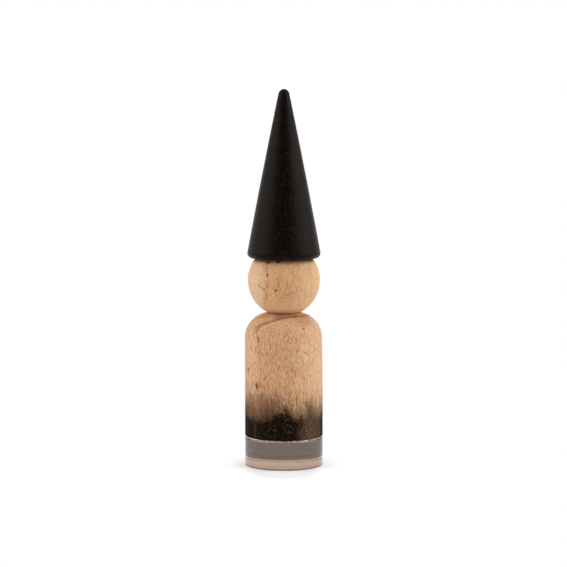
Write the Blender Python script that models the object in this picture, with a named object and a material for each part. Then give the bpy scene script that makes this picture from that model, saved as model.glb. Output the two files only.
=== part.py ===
"""Turned wooden figurine with a ball head and a tall cone hat, on a clear round base.

Every piece is turned about one upright axis. Fluted pins join the hat, the head and the body,
and a bonding film holds the body's foot on the base. Lengths are in metres, +Z is up, and the
origin is the centre of the base's underside.
"""
import math

import bmesh
import bpy

# Room left between two pieces that meet, on every face of a seat
SEAT_GAP = 0.0003

# Radius of the base and of the body's foot, which are turned flush
FOOT_RADIUS = 0.0200

# Clear base
BASE_THICKNESS = 0.0145
BASE_TOP_BEVEL = 0.0004
BASE_FOOT_ROUND = 0.0012

# Bonding film, set back from the rim of the base
FILM_THICKNESS = 0.0004
FILM_INSET = 0.0005

# Body, with a slightly tapered side and a round shoulder
BODY_HEIGHT = 0.0631
BODY_TAPER = 0.0003
BODY_SWELL = 0.0001
BODY_FOOT_BEVEL = 0.0003
SHOULDER_ROUND = 0.01275

# Head, a ball drilled through, with a flat ring round each end of the bore
HEAD_RADIUS = 0.01808
HEAD_LAND = 0.0032

# Hat, a hollow-seated cone whose rim stands just past the head
HAT_HEIGHT = 0.0858
HAT_OVERHANG = 0.0004
HAT_RIM_ROUND = 0.0024
HAT_TIP_RADIUS = 0.0028
HAT_SWELL = 0.0001
HAT_SEAT_DEPTH = 0.0050

# Fluted pins and the bores that hold them
PIN_RADIUS = 0.0040
PIN_BEVEL = 0.0008
PIN_DEPTH_IN_BODY = 0.0125
PIN_DEPTH_IN_HAT = 0.0125
PIN_SPACING_IN_HEAD = 0.0080
PIN_END_ROOM = 0.0010
FLUTE_COUNT = 16
FLUTE_DEPTH = 0.00025
BORE_COUNTERSINK = 0.0005
DRILL_POINT_ANGLE = math.radians(118)
LEAST_LAND = 0.0010

# Facets round the axis and along the curves
ROUND_STEPS = 56
HEAD_ARC_STEPS = 20
SHOULDER_ARC_STEPS = 9
SMALL_ARC_STEPS = 5
SIDE_STEPS = 4
SMOOTH_ANGLE = math.radians(35)
MERGE_DISTANCE = 0.000001

# Sizes that follow from the ones above
BORE_RADIUS = PIN_RADIUS + SEAT_GAP
BORE_MOUTH_RADIUS = BORE_RADIUS + BORE_COUNTERSINK
DRILL_POINT = BORE_RADIUS / math.tan(DRILL_POINT_ANGLE / 2)
HEAD_FLAT_RADIUS = BORE_MOUTH_RADIUS + HEAD_LAND
HEAD_FLAT_HEIGHT = math.sqrt(HEAD_RADIUS ** 2 - HEAD_FLAT_RADIUS ** 2)
PIN_DEPTH_IN_HEAD = HEAD_FLAT_HEIGHT - PIN_SPACING_IN_HEAD / 2
SHOULDER_RADIUS = FOOT_RADIUS - BODY_TAPER
HAT_RIM_RADIUS = HEAD_RADIUS + HAT_OVERHANG

# Heights of the pieces above the ground
FILM_Z = BASE_THICKNESS + SEAT_GAP
BODY_Z = FILM_Z + FILM_THICKNESS + SEAT_GAP
BODY_TOP_Z = BODY_Z + BODY_HEIGHT
HEAD_Z = BODY_TOP_Z + SEAT_GAP + HEAD_FLAT_HEIGHT
HEAD_TOP_Z = HEAD_Z + HEAD_FLAT_HEIGHT
HAT_Z = HEAD_TOP_Z + SEAT_GAP - HAT_SEAT_DEPTH
NECK_PIN_Z = BODY_TOP_Z - PIN_DEPTH_IN_BODY
HAT_PIN_Z = HEAD_TOP_Z - PIN_DEPTH_IN_HEAD


def clear_scene():
    for thing in list(bpy.data.objects):
        bpy.data.objects.remove(thing, do_unlink=True)


def finish(name, colour, roughness, transmission=0.0):
    """A material of one colour, for one piece."""
    material = bpy.data.materials.new(name)
    material.use_nodes = True
    shader = material.node_tree.nodes["Principled BSDF"]
    shader.inputs["Base Color"].default_value = (*colour, 1.0)
    shader.inputs["Roughness"].default_value = roughness
    shader.inputs["Metallic"].default_value = 0.0
    shader.inputs["IOR"].default_value = 1.49
    shader.inputs["Transmission Weight"].default_value = transmission
    return material


def arc(centre, radius, start, end, steps):
    """Points (distance from the axis, height) along an arc, with its angles from the horizontal."""
    points = []
    for step in range(steps + 1):
        angle = start + (end - start) * step / steps
        points.append((centre[0] + radius * math.cos(angle),
                       centre[1] + radius * math.sin(angle)))
    return points


def bowed_line(start, end, bow, steps):
    """Points along a line that stands out by bow at its middle, without the two ends."""
    points = []
    for step in range(1, steps):
        share = step / steps
        distance = start[0] + (end[0] - start[0]) * share + 4 * bow * share * (1 - share)
        points.append((distance, start[1] + (end[1] - start[1]) * share))
    return points


def bore_opening_up(mouth, depth):
    """A blind bore from its drill point on the axis up to its countersunk mouth."""
    return [(0.0, mouth - depth - DRILL_POINT),
            (BORE_RADIUS, mouth - depth),
            (BORE_RADIUS, mouth - BORE_COUNTERSINK),
            (BORE_MOUTH_RADIUS, mouth)]


def bore_opening_down(mouth, depth):
    """The same bore turned over, from its mouth up to its drill point."""
    return [(BORE_MOUTH_RADIUS, mouth),
            (BORE_RADIUS, mouth + BORE_COUNTERSINK),
            (BORE_RADIUS, mouth + depth),
            (0.0, mouth + depth + DRILL_POINT)]


def place(name, mesh, material, height, parent):
    mesh.materials.append(material)
    piece = bpy.data.objects.new(name, mesh)
    piece.location.z = height
    piece.parent = parent
    bpy.context.collection.objects.link(piece)
    return piece


def smooth(mesh):
    mesh.shade_smooth()
    mesh.set_sharp_from_angle(angle=SMOOTH_ANGLE)


def turned(name, profile, material, height, parent, closed=False):
    """A piece turned about the axis, from a profile that runs down its outer side."""
    count = len(profile)
    edges = [(index, index + 1) for index in range(count - 1)]
    if closed:
        edges.append((count - 1, 0))
    outline = bpy.data.meshes.new(name + "_profile")
    outline.from_pydata([(distance, 0.0, z) for distance, z in profile], edges, [])
    blank = bpy.data.objects.new(name + "_blank", outline)
    bpy.context.collection.objects.link(blank)
    lathe = blank.modifiers.new("lathe", "SCREW")
    lathe.axis = "Z"
    lathe.steps = ROUND_STEPS
    lathe.render_steps = ROUND_STEPS
    lathe.use_merge_vertices = True
    lathe.merge_threshold = MERGE_DISTANCE
    evaluated = blank.evaluated_get(bpy.context.evaluated_depsgraph_get())
    mesh = bpy.data.meshes.new_from_object(evaluated)
    mesh.name = name
    bpy.data.objects.remove(blank, do_unlink=True)
    bpy.data.meshes.remove(outline)
    smooth(mesh)
    return place(name, mesh, material, height, parent)


def make_base(parent):
    radius = FOOT_RADIUS
    profile = [(0.0, BASE_THICKNESS),
               (radius - BASE_TOP_BEVEL, BASE_THICKNESS),
               (radius, BASE_THICKNESS - BASE_TOP_BEVEL)]
    profile += arc((radius - BASE_FOOT_ROUND, BASE_FOOT_ROUND), BASE_FOOT_ROUND,
                   0.0, -math.pi / 2, SMALL_ARC_STEPS)
    profile.append((0.0, 0.0))
    clear = finish("clear_base", (0.42, 0.36, 0.33), 0.05, transmission=0.9)
    return turned("base", profile, clear, 0.0, parent)


def make_film(parent):
    radius = FOOT_RADIUS - FILM_INSET
    profile = [(0.0, FILM_THICKNESS), (radius, FILM_THICKNESS), (radius, 0.0), (0.0, 0.0)]
    film = finish("bonding_film", (0.70, 0.66, 0.62), 0.30, transmission=0.5)
    return turned("bonding_film", profile, film, FILM_Z, parent)


def make_body(parent):
    shoulder_round = min(SHOULDER_ROUND, SHOULDER_RADIUS - BORE_MOUTH_RADIUS - LEAST_LAND)
    shoulder_z = BODY_HEIGHT - shoulder_round
    side_top = (SHOULDER_RADIUS, shoulder_z)
    side_foot = (FOOT_RADIUS, BODY_FOOT_BEVEL)
    profile = bore_opening_up(BODY_HEIGHT, PIN_DEPTH_IN_BODY + PIN_END_ROOM)
    profile += arc((SHOULDER_RADIUS - shoulder_round, shoulder_z), shoulder_round,
                   math.pi / 2, 0.0, SHOULDER_ARC_STEPS)
    profile += bowed_line(side_top, side_foot, BODY_SWELL, SIDE_STEPS)
    profile += [side_foot, (FOOT_RADIUS - BODY_FOOT_BEVEL, 0.0), (0.0, 0.0)]
    wood = finish("body_wood", (0.56, 0.38, 0.23), 0.55)
    return turned("body", profile, wood, BODY_Z, parent)


def make_head(parent):
    edge_angle = math.acos(HEAD_FLAT_RADIUS / HEAD_RADIUS)
    profile = [(BORE_RADIUS, HEAD_FLAT_HEIGHT - BORE_COUNTERSINK),
               (BORE_MOUTH_RADIUS, HEAD_FLAT_HEIGHT)]
    profile += arc((0.0, 0.0), HEAD_RADIUS, edge_angle, -edge_angle, HEAD_ARC_STEPS)
    profile += [(BORE_MOUTH_RADIUS, -HEAD_FLAT_HEIGHT),
                (BORE_RADIUS, BORE_COUNTERSINK - HEAD_FLAT_HEIGHT)]
    wood = finish("head_wood", (0.58, 0.40, 0.24), 0.55)
    return turned("head", profile, wood, HEAD_Z, parent, closed=True)


def hat_seat():
    """The hollow under the hat, which follows the top of the head at the seat gap."""
    radius = HEAD_RADIUS + SEAT_GAP
    centre = (0.0, HEAD_Z - HAT_Z)
    mouth_angle = math.asin(-centre[1] / radius)
    floor_angle = math.asin((HAT_SEAT_DEPTH - centre[1]) / radius)
    return arc(centre, radius, mouth_angle, floor_angle, SMALL_ARC_STEPS)


def make_hat(parent):
    seat = hat_seat()
    rim_round = min(HAT_RIM_ROUND, HAT_RIM_RADIUS - seat[0][0] - LEAST_LAND)
    rim_centre = (HAT_RIM_RADIUS - rim_round, rim_round)
    tip_centre = (0.0, HAT_HEIGHT - HAT_TIP_RADIUS)
    rise = tip_centre[1] - rim_centre[1]
    span = math.hypot(rim_centre[0], rise)
    lean = math.atan2(rim_centre[0], rise) - math.asin((HAT_TIP_RADIUS - rim_round) / span)
    tip = arc(tip_centre, HAT_TIP_RADIUS, math.pi / 2, lean, SMALL_ARC_STEPS)
    rim = arc(rim_centre, rim_round, lean, -math.pi / 2, SMALL_ARC_STEPS)
    profile = tip + bowed_line(tip[-1], rim[0], HAT_SWELL, SIDE_STEPS) + rim
    profile += seat
    profile += bore_opening_down(HAT_SEAT_DEPTH, PIN_DEPTH_IN_HAT + PIN_END_ROOM)
    profile[0] = (0.0, HAT_HEIGHT)
    black = finish("hat_black", (0.018, 0.015, 0.013), 0.45)
    return turned("hat", profile, black, HAT_Z, parent)


def flute_ring(mesh, radius, depth, height):
    """One ring of points round a pin, drawn in by depth at the bottom of each flute."""
    points = []
    per_flute = 4
    for index in range(FLUTE_COUNT * per_flute):
        angle = 2 * math.pi * index / (FLUTE_COUNT * per_flute)
        draw_in = depth if index % per_flute == 2 else 0.0
        distance = radius - draw_in
        points.append(mesh.verts.new((distance * math.cos(angle),
                                      distance * math.sin(angle), height)))
    return points


def make_pin(name, length, height, parent):
    """A pin with flutes along it for the glue, and a bevel at each end."""
    tip_radius = PIN_RADIUS - PIN_BEVEL
    build = bmesh.new()
    rings = [flute_ring(build, tip_radius, 0.0, 0.0),
             flute_ring(build, PIN_RADIUS, FLUTE_DEPTH, PIN_BEVEL),
             flute_ring(build, PIN_RADIUS, FLUTE_DEPTH, length - PIN_BEVEL),
             flute_ring(build, tip_radius, 0.0, length)]
    for lower, upper in zip(rings, rings[1:]):
        for index in range(len(lower)):
            after = (index + 1) % len(lower)
            build.faces.new((lower[index], lower[after], upper[after], upper[index]))
    build.faces.new(list(reversed(rings[0])))
    build.faces.new(rings[-1])
    mesh = bpy.data.meshes.new(name)
    build.to_mesh(mesh)
    build.free()
    smooth(mesh)
    return place(name, mesh, finish(name + "_wood", (0.62, 0.46, 0.30), 0.60), height, parent)


def main():
    clear_scene()
    figurine = bpy.data.objects.new("figurine", None)
    bpy.context.collection.objects.link(figurine)
    make_base(figurine)
    make_film(figurine)
    make_body(figurine)
    make_head(figurine)
    make_hat(figurine)
    make_pin("neck_pin", PIN_DEPTH_IN_BODY + SEAT_GAP + PIN_DEPTH_IN_HEAD, NECK_PIN_Z, figurine)
    make_pin("hat_pin", PIN_DEPTH_IN_HEAD + SEAT_GAP + PIN_DEPTH_IN_HAT, HAT_PIN_Z, figurine)


main()
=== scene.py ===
"""Studio scene and surface finish for a turned figurine with a cone hat, on a clear round base.

Every turned piece is spun again here in a finer mesh, in the place of its plain solid, with its
seats closed and a slight unevenness cut inwards. The grain, the brushed black, the paint, the
clear plastic and the glue line are node materials laid out in millimetres round the axis.
"""

import math

import bmesh
import bpy
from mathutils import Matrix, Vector, noise


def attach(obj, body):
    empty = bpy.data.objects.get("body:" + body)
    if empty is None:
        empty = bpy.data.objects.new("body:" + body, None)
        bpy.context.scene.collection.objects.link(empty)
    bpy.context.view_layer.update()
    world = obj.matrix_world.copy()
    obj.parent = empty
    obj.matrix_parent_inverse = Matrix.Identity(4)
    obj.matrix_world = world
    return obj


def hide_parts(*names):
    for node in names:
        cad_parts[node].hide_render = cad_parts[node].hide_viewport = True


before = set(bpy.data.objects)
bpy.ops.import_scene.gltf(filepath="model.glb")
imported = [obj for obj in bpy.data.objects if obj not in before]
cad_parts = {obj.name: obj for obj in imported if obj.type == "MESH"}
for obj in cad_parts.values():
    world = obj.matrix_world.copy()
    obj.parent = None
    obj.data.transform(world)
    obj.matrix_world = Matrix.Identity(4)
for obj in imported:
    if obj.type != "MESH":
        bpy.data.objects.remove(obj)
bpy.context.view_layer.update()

MM = 0.001
QUARTER = math.pi / 2

# Heights of the seats above the ground, in millimetres
BASE_TOP = 14.5
BODY_FOOT = 15.1
BODY_TOP = 78.6
HEAD_CENTRE = 95.114
HAT_UNDERSIDE = 106.43
HAT_TOP = 192.427

# Radii, bevels and rounds of the turned pieces
FOOT_RADIUS = 20.0
BASE_TOP_BEVEL = 0.6
BASE_FOOT_ROUND = 0.25
FILM_RADIUS = 19.9
FILM_EDGE_BEVEL = 0.15
BODY_FOOT_BEVEL = 0.3
SHOULDER_ROUND = 13.1
HEAD_RADIUS = 18.45
HAT_RIM_RADIUS = 18.72
HAT_RIM_ROUND = 2.6
HAT_TIP_RADIUS = 2.85
HAT_SWELL = 0.25
HAT_SEAT_DEPTH = 5.0

# Bores that hold the two pins
BORE_RADIUS = 4.05
BORE_MOUTH = 4.6
BORE_COUNTERSINK = 0.5
BORE_DEPTH = 13.5
DRILL_POINT = 2.5

# Room left at the glue, between body and head, round the head in its seat, and above it there
FILM_ROOM = 0.02
NECK_ROOM = 0.01
SEAT_ROOM = 0.03
SEAT_FLOOR_ROOM = 0.1

# The body's right side leans in above LEAN_START; towards the axis the lean fades to nothing
BODY_LEAN = 0.2
LEAN_START = 38.0
LEAN_INNER = 7.0
LEAN_FADE = 8.0

# Mesh fineness, and how near to a round its neighbouring ring lies
ROUND_STEPS = 192
LONGEST_STEP = 1.0
SMOOTH_ANGLE = math.radians(35)
WALL_HOLD = 0.02

# Knots and pin marks: place, half width and half height in millimetres, and strength. The body's
# last three, wide at its top round the neck, are painted shade under the ball.
BODY_MARKS_AND_NECK_SHADE = [((-12.8, -15.0, 66.2), 0.9, 2.2, 0.7), ((-13.8, -14.3, 42.4), 1.0, 2.4, 1.0),
              ((-18.0, -8.3, 49.7), 1.1, 2.4, 0.9), ((-13.3, -14.7, 58.0), 0.7, 3.4, 0.3),
              ((10.2, -15.2, 71.7), 1.0, 1.2, 0.8), ((15.8, -11.8, 60.6), 1.2, 0.8, 0.5),
              ((10.9, -16.5, 59.8), 0.8, 1.0, 0.6), ((-1.5, -11.0, 77.5), 5.6, 3.0, 0.5),
              ((4.2, -10.2, 77.8), 4.0, 2.4, 0.4), ((10.5, -10.5, 75.8), 9.0, 4.5, 0.26)]
HEAD_MARKS = [((-8.1, -15.7, 98.8), 1.1, 1.3, 0.9), ((-3.9, -17.3, 91.4), 1.2, 1.2, 0.9),
              ((-2.0, -17.6, 91.7), 0.7, 1.2, 0.8), ((-3.6, -17.6, 97.2), 1.1, 0.9, 0.35),
              ((-12.1, -13.4, 93.7), 1.0, 1.4, 0.6), ((-11.1, -14.0, 92.4), 1.1, 1.0, 0.7),
              ((-9.8, -14.8, 91.8), 1.3, 0.9, 0.6), ((-8.3, -15.9, 93.6), 0.8, 2.2, 0.65),
              ((-7.8, -13.1, 105.0), 1.8, 1.4, 0.9), ((-3.1, -14.5, 105.5), 1.6, 1.4, 0.9),
              ((-3.8, -15.4, 103.8), 1.0, 0.7, 0.4), ((-7.6, -11.4, 83.4), 0.9, 2.6, 0.6),
              ((8.7, -15.6, 98.0), 0.7, 1.8, 0.35), ((7.8, -11.6, 83.6), 1.2, 0.9, 0.4)]

# Dips in the upper edge of the body's black: middle and half width in millimetres, and drop
SOOT_DIPS = ((-12.0, 11.5, 0.38), (6.5, 6.5, 0.32), (17.0, 6.0, 0.06))

# Thin places in that black: middle, inner and outer radius in millimetres, and share left
SOOT_THIN_PLACES = (((14.0, -13.6), 4.5, 9.5, 0.84), ((-14.8, -13.5), 0.4, 1.8, 0.90))

# Painted shade lines in front on the clear disc, for the contact at its foot and for the far
# foot edge and the floor's shadow seen through it: height and half width in millimetres, and
# strength
DISC_SHADE_LINES = ((0.35, 0.75, 1.00), (1.85, 0.45, 0.45), (6.9, 1.1, 0.38))

# Colours in linear light
SOOT_BLACK = (0.0050, 0.0030, 0.0018, 1.0)
PAINT_DEEP = (0.0014, 0.0010, 0.0008, 1.0)
PAINT_SPECKLE = (0.0105, 0.0068, 0.0054, 1.0)
PAINT_DRIFT = (0.005, 0.003, 0.002, 1.0)
PAINT_SHEEN = (1.0, 0.80, 0.72, 1.0)
PLASTIC_DEEP = (0.43, 0.292, 0.225, 1.0)
PLASTIC_LIGHT = (0.53, 0.375, 0.282, 1.0)
PLASTIC_SHADE_LINE = (0.08, 0.05, 0.04, 1.0)
PLASTIC_EDGE_SHADE = (0.05, 0.03, 0.02, 1.0)
FLOOR_PALE = (0.88, 0.88, 0.88, 1.0)
FLOOR_GREY = (0.25, 0.26, 0.29, 1.0)
WHITE = (1.0, 1.0, 1.0, 1.0)

# Ovals on the floor, middle and half sizes in millimetres: where the figurine's shadow shows,
# where a painted shadow darkens the floor in front of it, and where the clear disc shows it
# white
SHADOW_OVAL = ((0.0, -5.0), (20.0, 30.0))
PAINTED_SHADOW_OVAL = ((0.0, -24.0), (21.0, 24.0))
WHITE_RING = ((0.0, 0.0), (23.4, 23.4))

# Floor and soft boxes, in metres, and how far round from the camera the boxes stand
FLOOR_RADIUS = 2.5
FLOOR_DROP = 0.00005
BOX_WIDTH = 1.5
BOX_HEIGHT = 1.2
BOX_DISTANCE = 1.4
BOX_ALTITUDE = 0.75
BOX_AIM = 0.10
BOX_AZIMUTH = 77.0

# Light levels
SURROUND_LEVEL = 0.90
OPENING_LEVEL = 0.20
FLOOR_GLOW = 0.11
LEFT_BOX_LEVEL = 1.95
RIGHT_BOX_LEVEL = 2.8

# Camera, as the photograph was taken: place in metres, lens and sensor in millimetres
CAMERA_PLACE = (-0.0002, -0.998, 0.184)
CAMERA_TILT = math.radians(90 - 5.19)
CAMERA_LENS = 124.36
CAMERA_SENSOR = 36.0


# Profiles and lathe work

def arc(centre, radius, start, end, steps):
    """Points (distance from the axis, height) along an arc."""
    points = []
    for step in range(steps + 1):
        angle = start + (end - start) * step / steps
        points.append((centre[0] + radius * math.cos(angle),
                       centre[1] + radius * math.sin(angle)))
    return points


def bowed_line(start, end, bow=0.0):
    """Points along a line that stands out by bow at its middle, without its two ends."""
    length = math.hypot(end[0] - start[0], end[1] - start[1])
    steps = max(2, round(length / LONGEST_STEP))
    points = []
    for step in range(1, steps):
        share = step / steps
        distance = start[0] + (end[0] - start[0]) * share + 4 * bow * share * (1 - share)
        points.append((distance, start[1] + (end[1] - start[1]) * share))
    return points


def uneven(depth, across, along):
    """How far a point is cut inwards, by noise that is stretched along the axis."""
    def cut(x, y, z):
        place = Vector((x / across, y / across, z / along))
        return depth * min(1.0, max(0.0, 0.5 + 0.7 * noise.noise(place)))
    return cut


def turned(name, profile, cut=None, closed=False):
    """A piece spun round the axis from a profile that runs down its outer side."""
    build = bmesh.new()
    rings = []
    for distance, height in profile:
        if distance < 1e-6:
            rings.append([build.verts.new((0.0, 0.0, height * MM))])
            continue
        ring = []
        for step in range(ROUND_STEPS):
            angle = 2 * math.pi * step / ROUND_STEPS
            x, y = distance * math.cos(angle), distance * math.sin(angle)
            if cut:
                share = 1 - cut(x, y, height) / distance
                x, y = x * share, y * share
            ring.append(build.verts.new((x * MM, y * MM, height * MM)))
        rings.append(ring)
    pairs = list(zip(rings, rings[1:]))
    if closed:
        pairs.append((rings[-1], rings[0]))
    for upper, lower in pairs:
        for step in range(ROUND_STEPS):
            after = (step + 1) % ROUND_STEPS
            corners = [upper[step % len(upper)], lower[step % len(lower)],
                       lower[after % len(lower)], upper[after % len(upper)]]
            build.faces.new(list(dict.fromkeys(corners)))
    bmesh.ops.recalc_face_normals(build, faces=build.faces)
    mesh = bpy.data.meshes.new(name)
    build.to_mesh(mesh)
    build.free()
    mesh.shade_smooth()
    mesh.set_sharp_from_angle(angle=SMOOTH_ANGLE)
    piece = bpy.data.objects.new(name, mesh)
    bpy.context.scene.collection.objects.link(piece)
    return piece


def make_base():
    """The clear disc, bevelled above and rounded at its foot."""
    bevel, foot_round = BASE_TOP_BEVEL, BASE_FOOT_ROUND
    profile = [(0.0, BASE_TOP), (FOOT_RADIUS - bevel, BASE_TOP)]
    profile += arc((FOOT_RADIUS - bevel, BASE_TOP - bevel), bevel, QUARTER, 0.0, steps=6)[1:]
    profile += [(FOOT_RADIUS, BASE_TOP - bevel - WALL_HOLD),
                (FOOT_RADIUS, foot_round + WALL_HOLD)]
    profile += arc((FOOT_RADIUS - foot_round, foot_round), foot_round, 0.0, -QUARTER, steps=8)
    profile += [(FOOT_RADIUS - foot_round - WALL_HOLD, 0.0), (0.0, 0.0)]
    return turned("clear_disc", profile)


def make_film():
    """The squeezed out glue, whose edge runs in and out a little round the rim."""
    low, high = BASE_TOP + FILM_ROOM, BODY_FOOT - FILM_ROOM
    inner = FILM_RADIUS - FILM_EDGE_BEVEL
    profile = [(0.0, high), (inner, high), (FILM_RADIUS, (low + high) / 2),
               (inner, low), (0.0, low)]
    return turned("glue_film", profile, uneven(depth=0.4, across=1.6, along=3.0))


def make_body():
    """The round-shouldered body with its blind bore, leaning in a little at the upper right."""
    shoulder = BODY_TOP - SHOULDER_ROUND
    side_top = (FOOT_RADIUS, shoulder)
    side_foot = (FOOT_RADIUS, BODY_FOOT + BODY_FOOT_BEVEL)
    rough = uneven(depth=0.06, across=5.0, along=22.0)

    def cut(x, y, z):
        distance = math.hypot(x, y)
        height = min(1.0, max(0.0, (z - LEAN_START) / (shoulder - LEAN_START)))
        outer = min(1.0, max(0.0, (distance - LEAN_INNER) / LEAN_FADE))
        return rough(x, y, z) + BODY_LEAN * height * outer * (1 + x / distance)

    bore_floor = BODY_TOP - BORE_DEPTH
    profile = [(0.0, bore_floor - DRILL_POINT), (BORE_RADIUS, bore_floor),
               (BORE_RADIUS, BODY_TOP - BORE_COUNTERSINK), (BORE_MOUTH, BODY_TOP)]
    profile += arc((FOOT_RADIUS - SHOULDER_ROUND, shoulder), SHOULDER_ROUND,
                   QUARTER, 0.0, steps=28)
    profile += bowed_line(side_top, side_foot)
    profile += [side_foot, (FOOT_RADIUS - BODY_FOOT_BEVEL, BODY_FOOT), (0.0, BODY_FOOT)]
    return turned("turned_body", profile, cut)


def make_head():
    """The ball, which sits down on the body's top, with its bore drilled through."""
    foot_angle = math.asin((BODY_TOP + NECK_ROOM - HEAD_CENTRE) / HEAD_RADIUS)
    seat = HAT_UNDERSIDE + HAT_SEAT_DEPTH - SEAT_FLOOR_ROOM
    top_angle = math.asin((seat - HEAD_CENTRE) / HEAD_RADIUS)
    outline = arc((0.0, HEAD_CENTRE), HEAD_RADIUS, top_angle, foot_angle, steps=64)
    top, foot = outline[0][1], outline[-1][1]
    profile = [(BORE_RADIUS, top - BORE_COUNTERSINK), (BORE_MOUTH, top)]
    profile += outline
    profile += [(BORE_MOUTH, foot), (BORE_RADIUS, foot + BORE_COUNTERSINK)]
    rough = uneven(depth=0.05, across=6.0, along=9.0)
    return turned("ball_head", profile, rough, closed=True)


def make_hat():
    """The cone, with a hollow seat that follows the ball and a blind bore above it."""
    rim_centre = (HAT_RIM_RADIUS - HAT_RIM_ROUND, HAT_UNDERSIDE + HAT_RIM_ROUND)
    tip_centre = (0.0, HAT_TOP - HAT_TIP_RADIUS)
    rise = tip_centre[1] - rim_centre[1]
    span = math.hypot(rim_centre[0], rise)
    lean = math.atan2(rim_centre[0], rise)
    lean -= math.asin((HAT_TIP_RADIUS - HAT_RIM_ROUND) / span)
    tip = arc(tip_centre, HAT_TIP_RADIUS, QUARTER, lean, steps=14)
    tip[0] = (0.0, HAT_TOP)
    rim = arc(rim_centre, HAT_RIM_ROUND, lean, -QUARTER, steps=14)
    seat_radius = HEAD_RADIUS + SEAT_ROOM
    seat_floor = HAT_UNDERSIDE + HAT_SEAT_DEPTH
    mouth_angle = math.asin((HAT_UNDERSIDE - HEAD_CENTRE) / seat_radius)
    floor_angle = math.asin((seat_floor - HEAD_CENTRE) / seat_radius)
    bore_roof = seat_floor + BORE_DEPTH
    profile = tip + bowed_line(tip[-1], rim[0], HAT_SWELL) + rim
    profile += arc((0.0, HEAD_CENTRE), seat_radius, mouth_angle, floor_angle, steps=8)
    profile += [(BORE_MOUTH, seat_floor), (BORE_RADIUS, seat_floor + BORE_COUNTERSINK),
                (BORE_RADIUS, bore_roof), (0.0, bore_roof + DRILL_POINT)]
    return turned("cone_hat", profile, uneven(depth=0.05, across=5.0, along=16.0))


# Node work

class Graph:
    """A short way to write the nodes of one tree."""

    def __init__(self, tree):
        self.tree = tree

    def link(self, value, socket):
        """Give a socket a link or a constant; None leaves it as it is."""
        if isinstance(value, bpy.types.NodeSocket):
            self.tree.links.new(value, socket)
        elif value is not None:
            socket.default_value = value

    def add(self, kind, *values, **settings):
        """A new node, whose first sockets take the values."""
        node = self.tree.nodes.new(kind)
        for name, value in settings.items():
            setattr(node, name, value)
        for value, socket in zip(values, node.inputs):
            self.link(value, socket)
        return node

    def math(self, operation, *values):
        return self.add("ShaderNodeMath", *values, operation=operation).outputs[0]

    def vector(self, operation, first, second=None, scale=None):
        node = self.add("ShaderNodeVectorMath", first, second, None, scale, operation=operation)
        return node.outputs["Value" if operation in ("DISTANCE", "LENGTH") else "Vector"]

    def combine(self, x, y, z):
        return self.add("ShaderNodeCombineXYZ", x, y, z).outputs[0]

    def ramp(self, value, start, end, low=0.0, high=1.0, smooth=True):
        """The value carried from start..end to low..high and held there."""
        course = "SMOOTHSTEP" if smooth else "LINEAR"
        return self.add("ShaderNodeMapRange", value, start, end, low, high,
                        interpolation_type=course).outputs[0]

    def mix(self, share, first, second):
        """The share of the second colour laid over the first."""
        node = self.add("ShaderNodeMix", share, data_type="RGBA")
        self.link(first, node.inputs[6])
        self.link(second, node.inputs[7])
        return node.outputs[2]

    def shader(self, kind, *values):
        """The output of a new shader."""
        return self.add(kind, *values).outputs[0]

    def seen_by(self, *rays):
        """One for the rays that are named, and nothing for all others."""
        path = self.add("ShaderNodeLightPath")
        total = path.outputs[rays[0]]
        for ray in rays[1:]:
            total = self.math("MAXIMUM", total, path.outputs[ray])
        return total


class Surface(Graph):
    """The nodes of one material, with places in millimetres."""

    def __init__(self, name):
        self.material = bpy.data.materials.new(name)
        self.material.use_nodes = True
        super().__init__(self.material.node_tree)
        self.principled = self.tree.nodes["Principled BSDF"]
        place = self.add("ShaderNodeTexCoord").outputs["Object"]
        self.place = self.vector("SCALE", place, scale=1 / MM)
        self.x, self.y, self.z = self.add("ShaderNodeSeparateXYZ", self.place).outputs

    def noise(self, vector, detail=2.0, roughness=0.5):
        node = self.add("ShaderNodeTexNoise", vector)
        node.inputs["Scale"].default_value = 1.0
        node.inputs["Detail"].default_value = detail
        node.inputs["Roughness"].default_value = roughness
        return node.outputs[0]

    def cells(self, vector, scale=1.0):
        """Distance to the nearest of many scattered points, and a random value for each."""
        node = self.add("ShaderNodeTexVoronoi", vector)
        node.inputs["Scale"].default_value = scale
        return node.outputs["Distance"], node.outputs["Color"]

    def stretched(self, across, along, offset=(0.0, 0.0, 0.0)):
        """Places for a texture whose grain is across wide and along high."""
        shifted = self.vector("ADD", self.place, offset)
        return self.vector("MULTIPLY", shifted, (1 / across, 1 / across, 1 / along))

    def bump(self, height, distance):
        node = self.add("ShaderNodeBump")
        node.inputs["Strength"].default_value = 1.0
        node.inputs["Distance"].default_value = distance * MM
        self.link(height, node.inputs["Height"])
        self.link(node.outputs[0], self.principled.inputs["Normal"])

    def finish(self, colour, roughness, **settings):
        self.link(colour, self.principled.inputs["Base Color"])
        self.link(roughness, self.principled.inputs["Roughness"])
        for name, value in settings.items():
            self.principled.inputs[name.replace("_", " ")].default_value = value
        return self.material


def rgb(red, green, blue):
    """A colour in linear light from its everyday 0 to 255 values."""
    def linear(value):
        value /= 255
        return value / 12.92 if value <= 0.04045 else ((value + 0.055) / 1.055) ** 2.4
    return (linear(red), linear(green), linear(blue), 1.0)


# Wood

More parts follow.
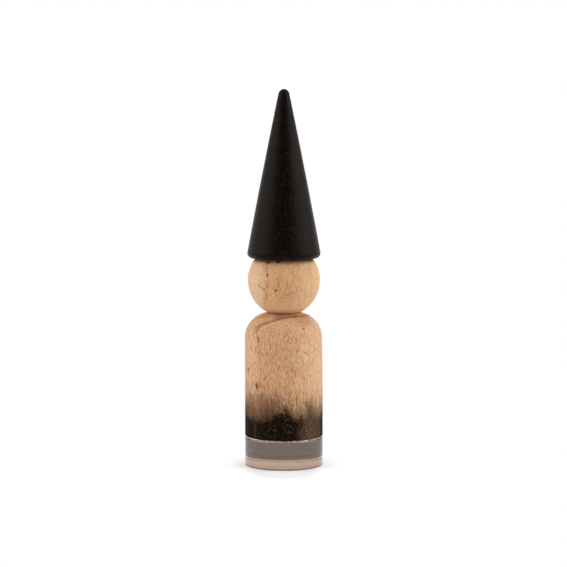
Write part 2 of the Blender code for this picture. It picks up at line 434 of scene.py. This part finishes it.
def grain(graph, pith, step):
    """Distance out from the pith, bent a little, and shifted below a step if there is one."""
    bend = graph.noise(graph.stretched(9.0, 30.0, (7.0, 0.0, 5.0)))
    bend = graph.math("MULTIPLY_ADD", bend, 2.4, -1.2)
    east = graph.math("SUBTRACT", graph.x, pith[0])
    north = graph.math("SUBTRACT", graph.y, pith[1])
    square = graph.math("MULTIPLY_ADD", north, north, graph.math("MULTIPLY", east, east))
    fray = graph.noise(graph.stretched(1.4, 3.0, (1.0, 4.0, 2.0)), roughness=0.6)
    out = graph.math("ADD", graph.math("SQRT", square), bend)
    out = graph.math("MULTIPLY_ADD", fray, 1.8, graph.math("SUBTRACT", out, 0.9))
    if step:
        foot, top, shift = step
        out = graph.math("ADD", out, graph.ramp(graph.z, foot, top, shift, 0.0))
    return out


def ring_lines(graph, out, rings):
    """Late wood that darkens slowly out to each ring's edge and stops there.

    A ring has its distance from the pith, its width below and above the shoulder's start, and
    its strength.
    """
    broken = graph.noise(graph.stretched(1.6, 5.0), roughness=0.6)
    broken = graph.ramp(broken, 0.38, 0.62, 0.0, 0.5)
    broken = graph.math("MAXIMUM", broken, graph.ramp(graph.z, 67.0, 73.0, 0.0, 0.9))
    total = 0.0
    for place, foot_width, top_width, strength in rings:
        width = graph.ramp(graph.z, 66.0, 72.0, foot_width, top_width)
        rise = graph.ramp(out, graph.math("SUBTRACT", place, width), place, 0.0, strength)
        edge = graph.ramp(out, place + 0.5, place)
        total = graph.math("MULTIPLY_ADD", rise, edge, total)
    return graph.math("MULTIPLY", graph.math("MINIMUM", total, 1.0), broken)


def ray_flecks(graph, wide, high, share):
    """Short dark spindles that stand up and down the grain."""
    distance, chance = graph.cells(graph.stretched(wide, high))
    spot = graph.ramp(distance, 0.42, 0.16)
    return graph.math("MULTIPLY", spot, graph.ramp(chance, 1.0 - share, 1.0))


def make_wood(name, pith, rings, offset, length, figure, painted_sheen_sides,
              middle_wood, left, right, dark, light, step=None):
    """Turned wood with flecks and rings, paler left and right of the middle by painted sheen.

    The pith is given from the axis in millimetres, and the length stretches flecks and fibre.
    The figure has its strength at the left, in the middle and at the right. The painted sheen
    sides say where the middle colour passes into the paler left and right colours, which stand
    in for sheen. A step has the heights between which the rings shift, and how far.
    """
    graph = Surface(name)
    out = grain(graph, pith, step)
    fibre = graph.noise(graph.stretched(0.45, 5.0 * length, offset), roughness=0.6)
    drift = graph.noise(graph.stretched(7.0, 20.0, offset))
    mottle = graph.noise(graph.stretched(0.65, 2.0 * length, offset), roughness=0.6)
    flecks = graph.math("MAXIMUM", ray_flecks(graph, 0.75, 5.0 * length, 0.5),
                        ray_flecks(graph, 0.6, 3.2 * length, 0.45))
    wave = graph.noise(graph.stretched(1.3, 4.4 * length, offset), detail=1.0)
    wave = graph.math("ABSOLUTE", graph.math("SUBTRACT", wave, 0.5))
    figure_left, figure_middle, figure_right = figure
    figure = graph.ramp(graph.x, -14.0, -8.0, figure_left, figure_middle)
    figure = graph.ramp(graph.x, 6.0, 16.0, figure, figure_right)
    # Painted sheen: the wood turns paler and greyer left and right of the middle.
    colour = graph.mix(graph.ramp(graph.x, *painted_sheen_sides[0]), middle_wood, left)
    colour = graph.mix(graph.ramp(graph.x, *painted_sheen_sides[1]), colour, right)
    colour = graph.mix(graph.ramp(drift, 0.40, 0.65, 0.0, 0.3), colour, light)
    for share, strength, tone in ((graph.ramp(fibre, 0.48, 0.70), 0.30, dark),
                                  (graph.ramp(mottle, 0.50, 0.25), 0.24, dark),
                                  (graph.ramp(mottle, 0.48, 0.75), 0.62, light),
                                  (graph.ramp(wave, 0.035, 0.0), 0.42, dark),
                                  (flecks, 0.60, dark)):
        strength = graph.math("MULTIPLY", figure, strength)
        colour = graph.mix(graph.math("MULTIPLY", share, strength), colour, tone)
    lines = ring_lines(graph, out, rings)
    colour = graph.mix(graph.math("MULTIPLY", lines, 0.8), colour, dark)
    return graph, colour, fibre, flecks


def marked(graph, colour, marks, stain_and_shade):
    """Small knots and pin marks with frayed outlines, and on the body painted shade round the
    neck.
    """
    fray = graph.add("ShaderNodeTexNoise", graph.place)
    fray.inputs["Scale"].default_value = 0.9
    shake = graph.vector("SUBTRACT", fray.outputs["Color"], (0.5, 0.5, 0.5))
    frayed = graph.vector("ADD", graph.place, graph.vector("SCALE", shake, scale=1.6))
    total = 0.0
    for place, half_width, half_height, strength in marks:
        offset = graph.vector("SUBTRACT", frayed, place)
        sizes = (1 / half_width, 1 / half_width, 1 / half_height)
        away = graph.vector("LENGTH", graph.vector("MULTIPLY", offset, sizes))
        total = graph.math("MULTIPLY_ADD", graph.ramp(away, 1.0, 0.3), strength, total)
    return graph.mix(graph.math("MINIMUM", total, 1.0), colour, stain_and_shade)


def sanded(graph, colour, fibre, flecks):
    """Bare sanded wood, nearly without sheen, its flecks a hair below the fibre."""
    graph.bump(graph.math("SUBTRACT", fibre, flecks), 0.05)
    roughness = graph.ramp(fibre, 0.2, 0.8, 0.56, 0.68)
    return graph.finish(colour, roughness, Specular_IOR_Level=0.03)


# The brushed black over the body's foot

def scorched(graph, colour, reach):
    """Brown haze round the black's upper edge, which reaches higher at the left."""
    left = graph.ramp(graph.x, -1.0, -7.0)
    reach = graph.math("MULTIPLY_ADD", left, 0.20, reach)
    dust = graph.noise(graph.stretched(0.45, 0.7, (8.0, 2.0, 6.0)), detail=3.0, roughness=0.7)
    reach = graph.math("ADD", reach, graph.math("MULTIPLY_ADD", dust, 1.2, -0.6))
    haze = graph.ramp(reach, 0.22, 0.72, 0.0, graph.ramp(left, 0.0, 1.0, 0.50, 0.85))
    return graph.mix(haze, colour, rgb(104, 72, 52))


def dipped(graph, level):
    """The black's level, lower at the dips, full at the foot and softer in the middle."""
    for middle, half_width, drop in SOOT_DIPS:
        aside = graph.math("ABSOLUTE", graph.math("SUBTRACT", graph.x, middle))
        level = graph.math("SUBTRACT", level, graph.ramp(aside, half_width, 0.0, 0.0, drop))
    level = graph.math("ADD", level, graph.ramp(graph.z, 28.0, 20.0, 0.0, 0.5))
    aside = graph.math("ABSOLUTE", graph.math("SUBTRACT", graph.x, 0.5))
    middle = graph.math("MULTIPLY", graph.ramp(aside, 7.0, 2.0),
                        graph.ramp(graph.z, 36.0, 28.0, -0.16, 0.06))
    return graph.math("ADD", level, middle)


def worn(graph, cover, streaks, clouds):
    """The cover with specks of wood that show through it, and with its thin places."""
    specks = graph.noise(graph.stretched(0.65, 1.0, (5.0, 1.0, 3.0)), detail=3.0, roughness=0.6)
    speck_cover = graph.ramp(clouds, 0.42, 0.58, 0.95, 0.76)
    cover = graph.math("MULTIPLY", cover, graph.ramp(specks, 0.52, 0.66, 1.0, speck_cover))
    shake = graph.math("SUBTRACT", graph.math("ADD", streaks, clouds), 1.0)
    for place, inner, outer, share in SOOT_THIN_PLACES:
        away = graph.vector("DISTANCE", graph.combine(graph.x, graph.y, 0.0), (*place, 0.0))
        away = graph.math("MULTIPLY_ADD", shake, outer, away)
        thin = graph.ramp(streaks, 0.38, 0.62, share + 0.11, share - 0.15)
        cover = graph.math("MULTIPLY", cover, graph.ramp(away, inner, outer, thin, 1.0))
    return cover


def sooted(graph, colour):
    """Black brushed on: dense below, scorched and gritty at its upper edge."""
    streaks = graph.noise(graph.stretched(0.6, 1.0), detail=4.0, roughness=0.75)
    brush = graph.noise(graph.stretched(1.1, 7.0, (2.0, 0.0, 9.0)))
    clouds = graph.noise(graph.stretched(4.0, 7.0))
    grit = graph.math("MULTIPLY_ADD", streaks, 1.2, -1.05)
    grit = graph.math("MULTIPLY_ADD", brush, 0.4, grit)
    grit = graph.math("MULTIPLY_ADD", clouds, 0.5, grit)
    level = graph.ramp(graph.z, 23.0, 58.0, 1.06, -0.55, smooth=False)
    bowed = graph.math("MULTIPLY", graph.x, graph.x)
    level = graph.math("MULTIPLY_ADD", bowed, -0.0004, level)
    colour = scorched(graph, colour, graph.math("ADD", level, grit))
    reach = graph.math("ADD", dipped(graph, level), grit)
    cover = worn(graph, graph.ramp(reach, 0.08, 0.96), streaks, clouds)
    return graph.mix(cover, colour, SOOT_BLACK)


# Materials

def make_body_wood():
    """The body's wood, with a ring line down its left side and black over its foot."""
    graph, colour, fibre, flecks = make_wood(
        "body_wood", pith=(-5.2, 5.5), step=(66.5, 73.0, -2.3),
        rings=((19.6, 0.4, 2.1, 0.95), (24.3, 0.8, 0.8, 0.15), (14.2, 1.0, 2.6, 0.4)),
        offset=(3.0, 8.0, 0.0), length=1.0, figure=(1.2, 1.2, 0.8),
        # The left and right colours are paler by painted sheen.
        painted_sheen_sides=((-12.8, -16.5), (1.5, 15.0)),
        middle_wood=rgb(204, 156, 115), left=rgb(202, 163, 127), right=rgb(199, 162, 129),
        dark=rgb(122, 72, 38), light=rgb(220, 183, 146))
    # Knots and pin marks, and painted shade round the neck under the ball.
    colour = marked(graph, colour, BODY_MARKS_AND_NECK_SHADE, rgb(116, 56, 26))
    colour = sooted(graph, colour)
    return sanded(graph, colour, fibre, flecks)


def make_head_wood():
    """The ball's wood, paler below by painted light, and dark under the hat, where the hat's
    black bled into it and where painted shade falls under the rim.
    """
    graph, colour, fibre, flecks = make_wood(
        "head_wood", pith=(60.0, 0.0),
        rings=((70.3, 1.0, 1.0, 0.35), (55.0, 1.4, 1.4, 0.1), (48.0, 1.4, 1.4, 0.15)),
        offset=(40.0, 5.0, 9.0), length=1.8, figure=(0.5, 0.85, 0.6),
        # The left and right colours are paler by painted sheen.
        painted_sheen_sides=((-9.4, -12.0), (1.5, 10.0)),
        middle_wood=rgb(201, 152, 107), left=rgb(211, 175, 140), right=rgb(203, 163, 124),
        dark=rgb(126, 74, 40), light=rgb(220, 183, 146))
    colour = marked(graph, colour, HEAD_MARKS, rgb(124, 66, 30))
    # Painted light: the ball turns paler towards its foot, as if lit from below.
    colour = graph.mix(graph.ramp(graph.z, 89.0, 80.0, 0.0, 0.6), colour, rgb(220, 178, 138))
    # Under the hat's rim: the hat's black bled into the wood, deepened by painted shade.
    bleed_and_shade = graph.noise(graph.stretched(2.0, 2.0))
    edge = graph.math("MULTIPLY_ADD", bleed_and_shade, 1.2, graph.z)
    colour = graph.mix(graph.ramp(edge, 104.3, 106.9, 0.0, 0.85), colour, rgb(56, 32, 18))
    return sanded(graph, colour, fibre, flecks)


def make_paint():
    """Satin black paint with a fine warm speckle."""
    graph = Surface("black_paint")
    speckle = graph.noise(graph.stretched(0.9, 1.6), detail=3.0, roughness=0.7)
    drift = graph.noise(graph.stretched(6.0, 16.0))
    colour = graph.mix(graph.ramp(speckle, 0.42, 0.68), PAINT_DEEP, PAINT_SPECKLE)
    colour = graph.mix(graph.ramp(drift, 0.4, 0.7, 0.0, 0.3), colour, PAINT_DRIFT)
    graph.bump(speckle, 0.16)
    roughness = graph.ramp(speckle, 0.3, 0.7, 0.30, 0.40)
    return graph.finish(colour, roughness, Specular_IOR_Level=0.065, Specular_Tint=PAINT_SHEEN)


def make_clear():
    """Clear tinted plastic, with painted shade where it is seen edge on and painted shade lines
    in front.
    """
    graph = Surface("clear_plastic")
    drift = graph.noise(graph.stretched(5.0, 0.9), detail=3.0, roughness=0.6)
    colour = graph.mix(graph.ramp(drift, 0.3, 0.7), PLASTIC_DEEP, PLASTIC_LIGHT)
    swirl = graph.noise(graph.stretched(14.0, 0.9))
    graph.bump(swirl, 0.006)
    roughness = graph.ramp(swirl, 0.3, 0.7, 0.01, 0.04)
    out = graph.vector("LENGTH", graph.combine(graph.x, graph.y, 0.0))
    corner = graph.math("SUBTRACT", out, graph.z)
    dull = graph.math("GREATER_THAN", corner, FOOT_RADIUS - BASE_FOOT_ROUND - WALL_HOLD)
    roughness = graph.math("MULTIPLY_ADD", dull, 0.25, roughness)
    wall = graph.math("GREATER_THAN", out, FOOT_RADIUS - WALL_HOLD)
    wall = graph.math("MULTIPLY", wall, graph.ramp(graph.y, 0.0, -6.0))
    # Painted shade: the foot's round and the lines below darken the disc in front.
    lines = graph.math("MULTIPLY", graph.ramp(graph.y, -2.0, -10.0, 0.0, 0.8), dull)
    for height, half_width, strength in DISC_SHADE_LINES:
        away = graph.math("ABSOLUTE", graph.math("SUBTRACT", graph.z, height))
        line = graph.ramp(away, half_width, half_width / 3, 0.0, strength)
        lines = graph.math("MAXIMUM", lines, graph.math("MULTIPLY", line, wall))
    colour = graph.mix(lines, colour, PLASTIC_SHADE_LINE)
    # Painted shade: the disc's tint darkens where it is seen edge on.
    facing = graph.add("ShaderNodeLayerWeight").outputs["Facing"]
    deep = graph.math("MULTIPLY", graph.ramp(facing, 0.38, 0.75), graph.ramp(graph.z, 4.6, 5.6))
    colour = graph.mix(deep, colour, PLASTIC_EDGE_SHADE)
    return graph.finish(colour, roughness, IOR=1.49, Transmission_Weight=1.0)


def make_glue():
    """Cured glue with bubbles painted pale as glints, and a painted highlight that pales its
    left end.
    """
    graph = Surface("glue")
    distance, chance = graph.cells(graph.place, 0.8)
    bubble_glint = graph.math("MULTIPLY", graph.ramp(distance, 0.5, 0.2), graph.ramp(chance, 0.5, 0.8))
    drift = graph.noise(graph.stretched(1.6, 1.6))
    colour = graph.mix(graph.ramp(drift, 0.40, 0.60), rgb(126, 104, 96), rgb(206, 186, 176))
    # Painted highlight: pale glints on the bubbles, and a paler left end.
    pale = graph.math("MAXIMUM", bubble_glint, graph.ramp(graph.x, -11.0, -16.0, 0.0, 0.8))
    colour = graph.mix(pale, colour, rgb(250, 240, 234))
    graph.bump(bubble_glint, 0.2)
    return graph.finish(colour, 0.3, Transmission_Weight=0.2)


def make_pin_wood():
    """Plain hardwood dowel."""
    graph = Surface("pin_wood")
    fibre = graph.noise(graph.stretched(0.5, 8.0), detail=3.0, roughness=0.6)
    colour = graph.mix(graph.ramp(fibre, 0.35, 0.7), rgb(212, 180, 138), rgb(170, 130, 88))
    graph.bump(fibre, 0.05)
    return graph.finish(colour, 0.6)


def dress(piece, material, node):
    """Give a piece its material, and put it in the place of its solid."""
    piece.data.materials.append(material)
    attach(piece, "root")
    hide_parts(node)


dress(make_base(), make_clear(), "base")
dress(make_film(), make_glue(), "bonding_film")
dress(make_body(), make_body_wood(), "body")
dress(make_head(), make_head_wood(), "head")
dress(make_hat(), make_paint(), "hat")

pin_wood = make_pin_wood()
for pin in ("neck_pin", "hat_pin"):
    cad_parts[pin].material_slots[0].material = pin_wood


# Stage: a wide pale floor, a white surround with a darker opening in front, two side lamps

def floor_reach(graph, oval, start, end, low=0.0, high=1.0):
    """A value carried from low to high out of an oval, as shares of its half sizes."""
    middle, half_sizes = oval
    wide, deep = half_sizes[0] * MM, half_sizes[1] * MM
    place = graph.add("ShaderNodeTexCoord").outputs["Object"]
    scale = (1 / wide, 1 / deep, 0.0)
    shift = (-middle[0] * MM / wide, -middle[1] * MM / deep, 0.0)
    scaled = graph.add("ShaderNodeVectorMath", place, scale, shift, operation="MULTIPLY_ADD")
    return graph.ramp(graph.vector("LENGTH", scaled.outputs[0]), start, end, low, high)


def make_floor():
    """White to the camera and to gloss but for the shadow at the foot, deepened in front by a
    painted shadow, and pale to the rest.

    Through the clear disc the floor is white under the figurine and grey beyond it.
    """
    build = bmesh.new()
    bmesh.ops.create_circle(build, cap_ends=True, segments=96, radius=FLOOR_RADIUS)
    mesh = bpy.data.meshes.new("floor")
    build.to_mesh(mesh)
    build.free()
    floor = bpy.data.objects.new("floor", mesh)
    floor.location.z = -FLOOR_DROP
    bpy.context.scene.collection.objects.link(floor)
    material = bpy.data.materials.new("floor_white")
    material.use_nodes = True
    mesh.materials.append(material)
    graph = Graph(material.node_tree)
    graph.tree.nodes.clear()
    pale = graph.shader("ShaderNodeBsdfDiffuse", FLOOR_PALE)
    grey = graph.shader("ShaderNodeBsdfDiffuse", FLOOR_GREY)
    white = graph.shader("ShaderNodeEmission", WHITE, 1.0)
    glow = graph.shader("ShaderNodeEmission", WHITE, FLOOR_GLOW)
    # Painted shadow: the floor's colour darkens in an oval in front of the foot.
    shade = floor_reach(graph, PAINTED_SHADOW_OVAL, 0.6, 1.1, 0.74, 0.96)
    shaded = graph.shader("ShaderNodeBsdfDiffuse", shade)
    near = graph.shader("ShaderNodeAddShader", shaded, glow)
    far = floor_reach(graph, SHADOW_OVAL, 1.0, 1.6)
    watched = graph.shader("ShaderNodeMixShader", far, near, white)
    watching = graph.seen_by("Is Camera Ray", "Is Glossy Ray")
    outside = graph.shader("ShaderNodeMixShader", watching, pale, watched)
    ring = floor_reach(graph, WHITE_RING, 0.96, 1.04)
    beneath = graph.shader("ShaderNodeMixShader", ring, white, grey)
    through_disc = graph.seen_by("Is Transmission Ray")
    surface = graph.shader("ShaderNodeMixShader", through_disc, outside, beneath)
    graph.add("ShaderNodeOutputMaterial", surface)


def make_world():
    """White to the camera and through the clear disc; to the rest, darker in front."""
    world = bpy.data.worlds.new("studio")
    bpy.context.scene.world = world
    world.use_nodes = True
    graph = Graph(world.node_tree)
    graph.tree.nodes.clear()
    direction = graph.add("ShaderNodeTexCoord").outputs["Generated"]
    x, y, z = graph.add("ShaderNodeSeparateXYZ", direction).outputs
    level = graph.math("MULTIPLY_ADD", y, y, graph.math("MULTIPLY", x, x))
    front = graph.math("DIVIDE", y, graph.math("SQRT", level))
    opening = graph.ramp(front, -0.60, -0.85)
    below_top = graph.ramp(z, 0.90, 0.60)
    dark = graph.math("MULTIPLY", opening, below_top)
    strength = graph.ramp(dark, 0.0, 1.0, SURROUND_LEVEL, OPENING_LEVEL, smooth=False)
    lit = graph.shader("ShaderNodeBackground", WHITE, strength)
    white = graph.shader("ShaderNodeBackground", WHITE, 1.0)
    seen = graph.seen_by("Is Camera Ray", "Is Transmission Ray")
    surface = graph.shader("ShaderNodeMixShader", seen, lit, white)
    graph.add("ShaderNodeOutputWorld", surface)


def make_lamp(name, azimuth, radiance):
    """A soft box beside the figurine, azimuth degrees round from the camera."""
    angle = math.radians(azimuth)
    light = bpy.data.lights.new(name, "AREA")
    light.shape = "RECTANGLE"
    light.size = BOX_WIDTH
    light.size_y = BOX_HEIGHT
    light.energy = radiance * math.pi * BOX_WIDTH * BOX_HEIGHT
    lamp = bpy.data.objects.new(name, light)
    lamp.location = (BOX_DISTANCE * math.sin(angle), -BOX_DISTANCE * math.cos(angle),
                     BOX_ALTITUDE)
    aim = Vector((0.0, 0.0, BOX_AIM)) - lamp.location
    lamp.rotation_euler = aim.to_track_quat("-Z", "Y").to_euler()
    lamp.visible_transmission = False
    bpy.context.scene.collection.objects.link(lamp)


def make_camera():
    view = bpy.data.cameras.new("camera")
    view.lens = CAMERA_LENS
    view.sensor_width = CAMERA_SENSOR
    camera = bpy.data.objects.new("camera", view)
    camera.location = CAMERA_PLACE
    camera.rotation_euler = (CAMERA_TILT, 0.0, 0.0)
    bpy.context.scene.collection.objects.link(camera)
    bpy.context.scene.camera = camera


make_floor()
make_world()
make_lamp("left_box", -BOX_AZIMUTH, LEFT_BOX_LEVEL)
make_lamp("right_box", BOX_AZIMUTH, RIGHT_BOX_LEVEL)
make_camera()
bpy.context.scene.view_settings.view_transform = "Standard"


def corners(box):
    return [list(map(float, corner)) for corner in box]
